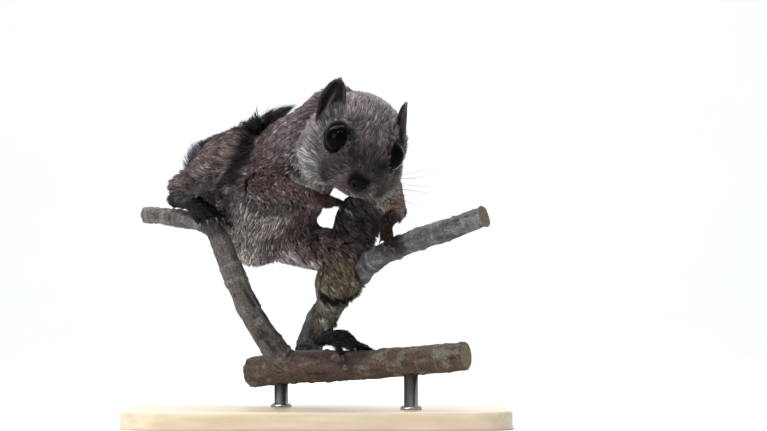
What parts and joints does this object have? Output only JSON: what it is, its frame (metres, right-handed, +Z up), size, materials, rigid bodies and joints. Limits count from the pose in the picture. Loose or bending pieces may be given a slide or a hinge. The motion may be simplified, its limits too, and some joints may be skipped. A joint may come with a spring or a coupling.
{
  "type": "flying squirrel",
  "caption": "Life-size still model of a flying squirrel crouched on a forked branch, tail laid over its back, held by a flat display stand.",
  "frame": {"origin": "middle of the stand's underside", "axes": "+Z up, +X to the viewer's right as the animal faces the viewer, +Y away from the viewer"},
  "size_m": [0.128, 0.1235, 0.1129],
  "materials": {
    "bark": "rough bark",
    "coat_body": "short dense fur, matt",
    "coat_head": "short dense fur, matt",
    "coat_limb": "short dense fur, matt",
    "coat_membrane": "furred skin, matt",
    "coat_tail": "long soft fur, matt",
    "eye_black": "glossy, opaque",
    "rod_steel": "satin",
    "skin_ear": "thin bare skin, matt",
    "skin_foot": "fine hair over skin, matt",
    "skin_hand": "bare skin and fine hair, matt",
    "skin_nose": "bare moist skin",
    "stand_wood": "satin"
  },
  "bodies": {
    "root": {"ear_left": "skin_ear", "ear_right": "skin_ear", "eye_left": "eye_black", "eye_right": "eye_black", "foot_left": "skin_foot", "foot_right": "skin_foot", "forearm_left": "coat_limb", "forearm_right": "coat_limb", "hand_left": "skin_hand", "hand_right": "skin_hand", "head": "coat_head", "membrane_left": "coat_membrane", "membrane_right": "coat_membrane", "neck": "coat_body", "nose": "skin_nose", "perch_branch_left": "bark", "perch_branch_right": "bark", "perch_limb": "bark", "shank_left": "coat_limb", "shank_right": "coat_limb", "stand_base": "stand_wood", "stand_rod_front": "rod_steel", "stand_rod_rear": "rod_steel", "tail_base": "coat_tail", "tail_middle": "coat_tail", "tail_tip": "coat_tail", "thigh_left": "coat_limb", "thigh_right": "coat_limb", "torso_front": "coat_body", "torso_rear": "coat_body", "upper_arm_left": "coat_limb", "upper_arm_right": "coat_limb"}
  },
  "joints": []
}
